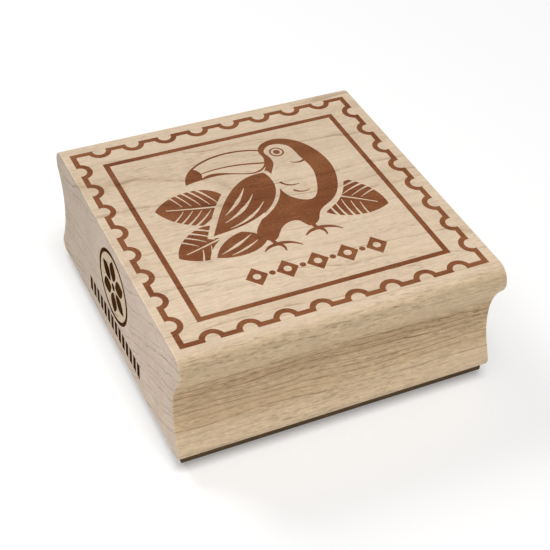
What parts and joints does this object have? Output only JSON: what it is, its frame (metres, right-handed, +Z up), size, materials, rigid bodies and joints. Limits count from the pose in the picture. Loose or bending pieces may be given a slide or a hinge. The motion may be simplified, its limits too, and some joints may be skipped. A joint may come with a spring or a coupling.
{
  "type": "rubber stamp",
  "caption": "Square wood-mounted rubber stamp: moulded maple block with finger grooves, foam cushion and engraved rubber die; bird picture in a perforated border on top.",
  "frame": {"origin": "centre of the printing face, where the raised image meets the paper", "axes": "+Z up through the block; +X along the moulding, from the marked end to the plain end; +Y across it, from the front roll to the back roll"},
  "size_m": [0.0636, 0.0662, 0.0281],
  "materials": {
    "maple": "bare sanded maple",
    "index_print": "reddish brown print in the wood",
    "burned_mark": "dark burned mark",
    "foam": "dark brown closed-cell foam",
    "die_rubber": "matt dark brown engraved rubber",
    "adhesive": "thin dark amber film"
  },
  "bodies": {
    "block": {"wood_block": "maple", "block_adhesive_film": "adhesive", "foam_cushion": "foam", "index_perforated_border": "index_print", "index_inner_border": "index_print", "index_bird": "index_print", "index_leaves": "index_print", "index_ornament_row": "index_print", "end_mark_ring": "burned_mark", "end_mark_rosette": "burned_mark", "end_mark_bars": "burned_mark"},
    "die": {"die_adhesive_film": "adhesive", "rubber_die": "die_rubber"}
  },
  "joints": [
    {"name": "cushion_press", "type": "slide", "parent": "block", "child": "die", "axis": [0, 0, 1], "range_m": [0, 0.0006], "stiffness_N_per_m": 4000, "springref_m": -0.00025, "deforming": ["foam_cushion"]}
  ]
}
